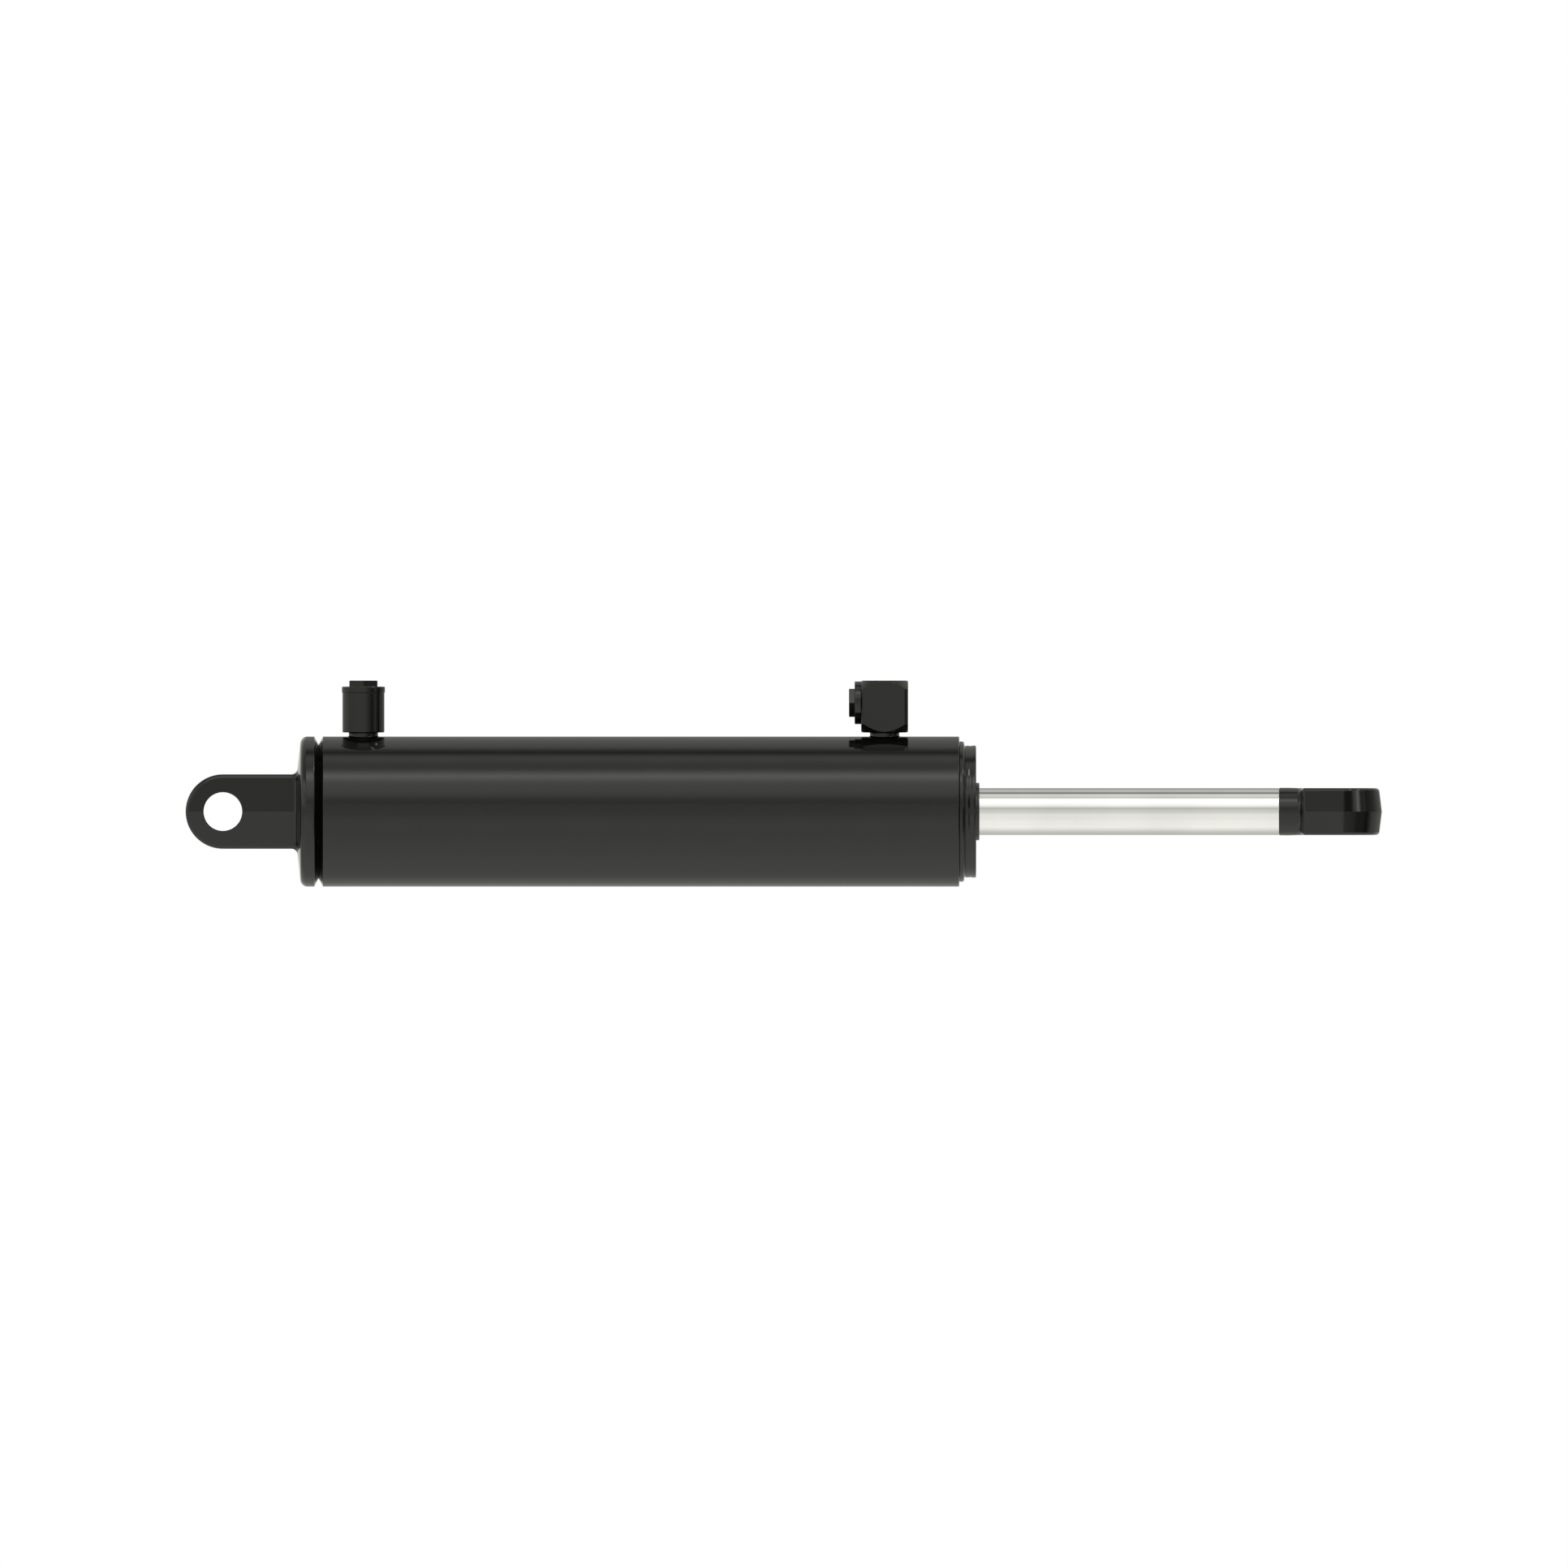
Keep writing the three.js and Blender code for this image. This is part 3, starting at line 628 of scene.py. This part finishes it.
def rod_eye(x, y, z):
    az = abs(z)
    side = (np.sqrt(np.maximum(x - 755.5, 0) ** 2 + y * y) - 28.0 + az * T7) * C7
    b = rint(side, az - 15.9, 2.1)
    b = rint(b, (729.0 + 0.15 * np.maximum(abs(y) - 19, 0) - x) * 0.989, 1.7)
    R = 3.2
    s = np.clip(x - (729.3 - R), 0, 0.985 * R)
    flare = np.where(x < 731.3, R - np.sqrt(R * R - s * s), 0.0)
    rn = 15.9 + 0.25 * smooth((x - 722.5) / 8) + flare
    q = np.sqrt(y * y + z * z)
    neck = np.maximum(q - rn, np.maximum(721.8 - x, x - 736.0))
    stub = np.maximum(q - 12.0, np.maximum(714.0 - x, x - 724.0))
    f = np.maximum(runi(b, neck, 0.6 + 3.0 * smooth((az - 8) / 6)), az - 15.9)
    f = np.minimum(f, stub)
    return rint(f, PIN_R - np.sqrt((x - 755.5) ** 2 + y * y), 0.6)


piece(nets("fine_rod_eye", rod_eye, (713, -29, -17), (785, 29, 17), 0.6, planes=[(2, 0.0)], thin=0.5), "rod_eye", "barrel_paint")


# ---------------------------------------------------------------------------
# Materials
# ---------------------------------------------------------------------------
class Nodes:
    def __init__(self, name):
        self.m = bpy.data.materials.new(name)
        self.m.use_nodes = True
        self.t = self.m.node_tree
        self.b = self.t.nodes["Principled BSDF"]
        self.co = self.t.nodes.new("ShaderNodeTexCoord")

    def set(self, **values):
        for k, v in values.items():
            self.b.inputs[k.replace("_", " ")].default_value = v

    def link(self, a, b):
        self.t.links.new(a, b)

    def mapped(self, scale, rotation=(0, 0, 0)):
        n = self.t.nodes.new("ShaderNodeMapping")
        n.inputs["Scale"].default_value = scale
        n.inputs["Rotation"].default_value = rotation
        self.link(self.co.outputs["Object"], n.inputs["Vector"])
        return n.outputs["Vector"]

    def noise(self, vector, scale, detail=3.0, rough=0.5):
        n = self.t.nodes.new("ShaderNodeTexNoise")
        n.inputs["Scale"].default_value = scale
        n.inputs["Detail"].default_value = detail
        n.inputs["Roughness"].default_value = rough
        self.link(vector, n.inputs["Vector"])
        return n.outputs["Fac"]

    def ramp(self, fac, lo, hi, a=0.3, b=0.7):
        n = self.t.nodes.new("ShaderNodeMapRange")
        n.inputs["From Min"].default_value = a
        n.inputs["From Max"].default_value = b
        n.inputs["To Min"].default_value = lo
        n.inputs["To Max"].default_value = hi
        self.link(fac, n.inputs["Value"])
        return n.outputs["Result"]

    def colours(self, fac, stops):
        n = self.t.nodes.new("ShaderNodeValToRGB")
        e = n.color_ramp.elements
        while len(e) < len(stops):
            e.new(0.5)
        for el, (pos, col) in zip(e, stops):
            el.position = pos
            el.color = (*col, 1)
        self.link(fac, n.inputs["Fac"])
        return n.outputs["Color"]

    def bump(self, height, strength, distance, normal=None):
        n = self.t.nodes.new("ShaderNodeBump")
        n.inputs["Strength"].default_value = strength
        n.inputs["Distance"].default_value = distance
        self.link(height, n.inputs["Height"])
        if normal is not None:
            self.link(normal, n.inputs["Normal"])
        return n.outputs["Normal"]


def paint():
    """Glossy black-grey enamel over turned and forged steel: slight orange peel, faint unevenness in gloss."""
    k = Nodes("barrel_paint")
    v = k.mapped((1, 1, 1))
    k.link(k.colours(k.noise(v, 45, 4), [(0.3, (0.0030, 0.0030, 0.0028)), (0.7, (0.0042, 0.0041, 0.0038))]), k.b.inputs["Base Color"])
    k.link(k.ramp(k.noise(v, 70, 5, 0.6), 0.07, 0.11), k.b.inputs["Roughness"])
    peel = k.bump(k.noise(v, 420, 2, 0.4), 0.035, 0.0004)
    k.link(k.bump(k.noise(v, 2600, 2, 0.5), 0.012, 0.0001, peel), k.b.inputs["Normal"])
    k.set(Metallic=0.0, IOR=1.5)
    return k.m


def chrome():
    """Ground and polished hard chrome: very fine marks round the rod."""
    k = Nodes("rod_chrome")
    v = k.mapped((1, 1, 1))
    lines = k.mapped((1, 0.012, 0.012))
    k.link(k.colours(k.noise(v, 30, 3), [(0.3, (0.75, 0.75, 0.755)), (0.7, (0.80, 0.80, 0.805))]), k.b.inputs["Base Color"])
    k.link(k.ramp(k.noise(lines, 5200, 3, 0.6), 0.025, 0.05), k.b.inputs["Roughness"])
    k.link(k.bump(k.noise(lines, 6500, 2, 0.5), 0.02, 0.00002), k.b.inputs["Normal"])
    k.set(Metallic=1.0)
    return k.m


def turned_steel():
    k = Nodes("machined_steel")
    v = k.mapped((1, 1, 1))
    lines = k.mapped((1, 0.02, 0.02))
    k.link(k.colours(k.noise(v, 60, 4), [(0.3, (0.42, 0.42, 0.43)), (0.7, (0.52, 0.52, 0.53))]), k.b.inputs["Base Color"])
    k.link(k.ramp(k.noise(lines, 2500, 3), 0.24, 0.4), k.b.inputs["Roughness"])
    k.link(k.bump(k.noise(lines, 2500, 2), 0.12, 0.0001), k.b.inputs["Normal"])
    k.set(Metallic=1.0)
    return k.m


def iron():
    k = Nodes("ductile_iron")
    v = k.mapped((1, 1, 1))
    lines = k.mapped((1, 0.02, 0.02))
    k.link(k.colours(k.noise(v, 300, 5, 0.7), [(0.3, (0.13, 0.13, 0.135)), (0.7, (0.24, 0.24, 0.245))]), k.b.inputs["Base Color"])
    k.link(k.ramp(k.noise(v, 500, 4), 0.38, 0.6), k.b.inputs["Roughness"])
    k.link(k.bump(k.noise(lines, 1800, 2), 0.15, 0.0001), k.b.inputs["Normal"])
    k.set(Metallic=1.0)
    return k.m


# Root weld finish: dull and barely reflective. This is partly the weld's own look and partly painted shade standing in
# for the dark bottom of the cap's V groove.
def weld():
    k = Nodes("weld_steel")
    v = k.mapped((1, 1, 1))
    k.link(k.colours(k.noise(v, 500, 4), [(0.3, (0.006, 0.006, 0.006)), (0.7, (0.012, 0.0115, 0.011))]), k.b.inputs["Base Color"])
    k.link(k.ramp(k.noise(v, 700, 4), 0.35, 0.6), k.b.inputs["Roughness"])
    k.link(k.bump(k.noise(v, 900, 3), 0.25, 0.0002), k.b.inputs["Normal"])
    # Low specular level: painted shade, which keeps the groove's root from reflecting the bright surround.
    k.b.inputs["Specular IOR Level"].default_value = 0.15
    return k.m


def rubber(name, dark, light, rough, grain):
    k = Nodes(name)
    v = k.mapped((1, 1, 1))
    k.link(k.colours(k.noise(v, 200, 4), [(0.3, dark), (0.7, light)]), k.b.inputs["Base Color"])
    k.link(k.ramp(k.noise(v, 600, 4), rough[0], rough[1]), k.b.inputs["Roughness"])
    k.link(k.bump(k.noise(v, grain, 3), 0.08, 0.00006), k.b.inputs["Normal"])
    k.set(Metallic=0.0, IOR=1.5)
    return k.m


MATERIALS = {
    "barrel_paint": paint(),
    "rod_chrome": chrome(),
    "machined_steel": turned_steel(),
    "ductile_iron": iron(),
    "weld_steel": weld(),
    "seal_rubber": rubber("seal_rubber", (0.010, 0.010, 0.010), (0.017, 0.017, 0.017), (0.4, 0.6), 1500),
    "seal_urethane": rubber("seal_urethane", (0.02, 0.06, 0.12), (0.03, 0.08, 0.15), (0.25, 0.4), 900),
    "wiper_urethane": rubber("wiper_urethane", (0.014, 0.014, 0.014), (0.02, 0.02, 0.02), (0.16, 0.26), 1200),
    "wear_ring_nylon": rubber("wear_ring_nylon", (0.13, 0.09, 0.04), (0.2, 0.15, 0.07), (0.4, 0.6), 1000),
}
for ob, mat in made:
    ob.data.materials.clear()
    ob.data.materials.append(MATERIALS[mat])
# The hidden CAD solids carry the same finish.
SLOT_OF = {s["node"]: s["material_slot"] for s in frame["record"]["subparts"]}
for n, o in frame["nodes"].items():
    o.data.materials.clear()
    o.data.materials.append(MATERIALS[SLOT_OF[n]])

# ---------------------------------------------------------------------------
# Studio: pale floor, soft surround, camera square on to the cylinder's side
# ---------------------------------------------------------------------------
floor_z = -0.0512
me = bpy.data.meshes.new("floor")
me.from_pydata([(-14, -14, floor_z), (14, -14, floor_z), (14, 14, floor_z), (-14, 14, floor_z)], [], [(0, 1, 2, 3)])
floor = bpy.data.objects.new("floor", me)
bpy.context.scene.collection.objects.link(floor)
k = Nodes("floor")
k.link(k.colours(k.noise(k.mapped((1, 1, 1)), 3, 3), [(0.3, (0.89, 0.89, 0.89)), (0.7, (0.91, 0.91, 0.91))]), k.b.inputs["Base Color"])
k.set(Roughness=0.9)
floor.data.materials.append(k.m)
floor.visible_glossy = False

# A low view's lower rays start under the floor, so a sheet in the lit floor's tone lies below the main view's edge.
me = bpy.data.meshes.new("floor_below")
me.from_pydata([(-14, -14, -0.53), (14, -14, -0.53), (14, 14, -0.53), (-14, 14, -0.53)], [], [(0, 1, 2, 3)])
below = bpy.data.objects.new("floor_below", me)
bpy.context.scene.collection.objects.link(below)
k = Nodes("floor_below")
k.set(Emission_Color=(0.718, 0.716, 0.668, 1), Emission_Strength=1.0, Base_Color=(0, 0, 0, 1), Specular_IOR_Level=0.0)
k.m.cycles.emission_sampling = "NONE"
below.data.materials.append(k.m)
below.visible_glossy = below.visible_diffuse = below.visible_transmission = below.visible_shadow = False

# White backdrop all round, seen by the camera only.
dome = lathe("backdrop", [(-14000, 0), (-14000, 15000, 5000), (14000, 15000, 5000), (14000, 0)], n=48, axis="Z", closed=False)
k = Nodes("backdrop")
k.set(Emission_Color=(1, 1, 1, 1), Emission_Strength=1.0, Base_Color=(0, 0, 0, 1), Specular_IOR_Level=0.0)
k.m.cycles.emission_sampling = "NONE"
dome.data.materials.append(k.m)
dome.visible_glossy = dome.visible_diffuse = dome.visible_transmission = dome.visible_shadow = False

world = bpy.data.worlds.new("studio")
bpy.context.scene.world = world
world.use_nodes = True
wt = world.node_tree
wt.nodes.clear()


def wn(kind, **inputs):
    n = wt.nodes.new(kind)
    for k_, v_ in inputs.items():
        setattr(n, k_, v_)
    return n


def wmath(op, a, b=None, c=None):
    n = wn("ShaderNodeMath", operation=op)
    for i, v in enumerate((a, b, c)):
        if v is None:
            continue
        if isinstance(v, (int, float)):
            n.inputs[i].default_value = v
        else:
            wt.links.new(v, n.inputs[i])
    return n.outputs[0]


def wramp(fac, stops, scale=2.5):
    """Brightness by angle: stops are (degrees, radiance) over -180..180."""
    n = wn("ShaderNodeValToRGB")
    e = n.color_ramp.elements
    while len(e) < len(stops):
        e.new(0.5)
    for el, (deg, val) in zip(e, stops):
        el.position = (deg + 180.0) / 360.0
        el.color = (val / scale, val / scale, val / scale, 1)
    wt.links.new(fac, n.inputs["Fac"])
    return wmath("MULTIPLY", n.outputs["Color"], scale)


def angle(a, b):
    t = wmath("ARCTAN2", a, b)
    return wmath("MULTIPLY_ADD", t, 0.5 / math.pi, 0.5)


tc = wn("ShaderNodeTexCoord")
sep = wn("ShaderNodeSeparateXYZ")
wt.links.new(tc.outputs["Generated"], sep.inputs[0])
dx, dy, dz = sep.outputs
front = wmath("MULTIPLY", dy, -1.0)

# Round the cylinder's axis: 0 towards the viewer, 90 overhead, 180 behind, -90 below.
ROUND = [(-180, .9), (-165, .5), (-150, .54), (-116, .72), (-92, 1.0), (-84, 1.08), (-50, 1.05), (-34, .98), (-15, .97),
         (-8, .84), (0, .75), (9, .71), (14, .59), (19, .68), (25, .98), (32, 1.17), (45, 1.34), (51, 1.8), (56, 2.25),
         (62, 1.55), (68, .86), (74, .69), (88, .88), (94, .72), (98, .45), (103, .18), (110, .38), (118, .66), (126, .6),
         (142, .47), (164, .3), (180, .9)]
e_round = wramp(angle(dz, front), ROUND)
# Round the vertical: 0 towards the viewer, 90 to the rod end; level, a little above and a little below.
LEVEL = [(-180, .9), (-163, .5), (-144, .42), (-131, .5), (-113, .63), (-95, .7), (-74, .64), (-53, .72), (-34, .75), (0, .76),
         (6, .8), (15, .65), (24, .5), (33, .34), (39, .27), (43, .14), (50, .15), (57, .18), (62, .34), (68, .46), (73, .33),
         (79, .19), (86, .08), (91, .1), (97, .17), (104, .27), (120, .38), (141, .32), (165, .32), (180, .8)]
ABOVE = [(-180, .9), (-163, .6), (-131, .8), (-95, 1.0), (-53, .95), (-25, .78), (-8, .73), (1, .62), (7, .44), (10, .29),
         (14, .14), (22, .11), (31, .14), (35, .35), (39, .82), (43, .95), (47, 1.3), (51.5, 2.4), (55.5, 1.6),
         (59, .7), (62, .36), (66, .3), (71, .42), (76, .3), (81, .19), (87, .2), (112, .32), (125, .42), (150, .5), (180, .8)]
BELOW = [(-180, .95), (-163, .5), (-131, .55), (-95, .75), (-53, .95), (-15, 1.03), (-9, .93), (-4, .76), (0, .66), (5, .54),
         (14, .48), (28, .39), (38, .36), (43, .27), (49, .17), (57, .18), (66, .19), (73, .13), (79, .06), (83, .09), (87, .18),
         (91, .3), (96, .46), (102, .57), (112, .6), (125, .62), (136, .68), (165, .8), (180, .9)]
az = angle(dx, front)
e_level, e_above, e_below = wramp(az, LEVEL), wramp(az, ABOVE), wramp(az, BELOW)


def wsmooth(value, lo, hi):
    n = wn("ShaderNodeMapRange", interpolation_type="SMOOTHSTEP")
    n.inputs["From Min"].default_value = lo
    n.inputs["From Max"].default_value = hi
    wt.links.new(value, n.inputs["Value"])
    return n.outputs["Result"]


def wmix(a, b, f):
    return wmath("ADD", wmath("MULTIPLY", a, wmath("SUBTRACT", 1.0, f)), wmath("MULTIPLY", b, f))


side = wmix(wmix(e_level, e_above, wsmooth(dz, 0.05, 0.15)), e_below, wsmooth(wmath("MULTIPLY", dz, -1.0), 0.05, 0.15))
ax_, az_ = wmath("ABSOLUTE", dx), wmath("ABSOLUTE", dz)
w = wmath("MULTIPLY", wsmooth(ax_, 0.06, 0.2), wmath("SUBTRACT", 1.0, wsmooth(az_, 0.3, 0.6)))
value = wmix(e_round, side, w)
# Soft panels high up on either side, and a small bright lamp up to the right.
panel = wmath("MULTIPLY_ADD", wsmooth(dx, -0.2, 0.2), 0.15, 0.5)
value = wmix(value, panel, wmath("MULTIPLY", wsmooth(ax_, 0.2, 0.42), wsmooth(dz, 0.5, 0.72)))
for lamp_az, lamp_el, inner, outer, power in ((76, 52, 2.0, 5.0, 10.0),):
    ca, ce = math.radians(lamp_az), math.radians(lamp_el)
    dot = wn("ShaderNodeVectorMath", operation="DOT_PRODUCT")
    wt.links.new(tc.outputs["Generated"], dot.inputs[0])
    dot.inputs[1].default_value = (math.cos(ce) * math.sin(ca), -math.cos(ce) * math.cos(ca), math.sin(ce))
    spot = wsmooth(dot.outputs["Value"], math.cos(math.radians(outer)), math.cos(math.radians(inner)))
    value = wmath("ADD", value, wmath("MULTIPLY", spot, power))
# A narrow upright strip lamp beside it.
dots = []
for axis in ((0.3100, -0.2420, 0.9194), (0.940, 0.203, -0.273)):
    dot = wn("ShaderNodeVectorMath", operation="DOT_PRODUCT")
    wt.links.new(tc.outputs["Generated"], dot.inputs[0])
    dot.inputs[1].default_value = axis
    dots.append(dot.outputs["Value"])
along = wsmooth(dots[0], math.cos(math.radians(8.5)), math.cos(math.radians(4.0)))
across = wmath("SUBTRACT", 1.0, wsmooth(wmath("ABSOLUTE", dots[1]), math.sin(math.radians(1.0)), math.sin(math.radians(2.4))))
value = wmath("ADD", value, wmath("MULTIPLY", wmath("MULTIPLY", along, across), 8.0))
warm = wn("ShaderNodeVectorMath", operation="SCALE")
warm.inputs[0].default_value = (1.005, 1.0, 0.935)
wt.links.new(value, warm.inputs["Scale"])
bg = wn("ShaderNodeBackground")
wt.links.new(warm.outputs[0], bg.inputs["Color"])
out = wn("ShaderNodeOutputWorld")
wt.links.new(bg.outputs[0], out.inputs[0])

cam = bpy.data.cameras.new("camera")
cam.type = "ORTHO"
cam.ortho_scale = 1.0599
cam_ob = bpy.data.objects.new("camera", cam)
cam_ob.location = (0.3793, -3.0, 0.01865)
cam_ob.rotation_euler = (math.radians(90), 0, 0)
bpy.context.scene.collection.objects.link(cam_ob)
bpy.context.scene.camera = cam_ob
bpy.context.scene.view_settings.view_transform = "Standard"
bpy.context.scene.view_settings.look = "None"
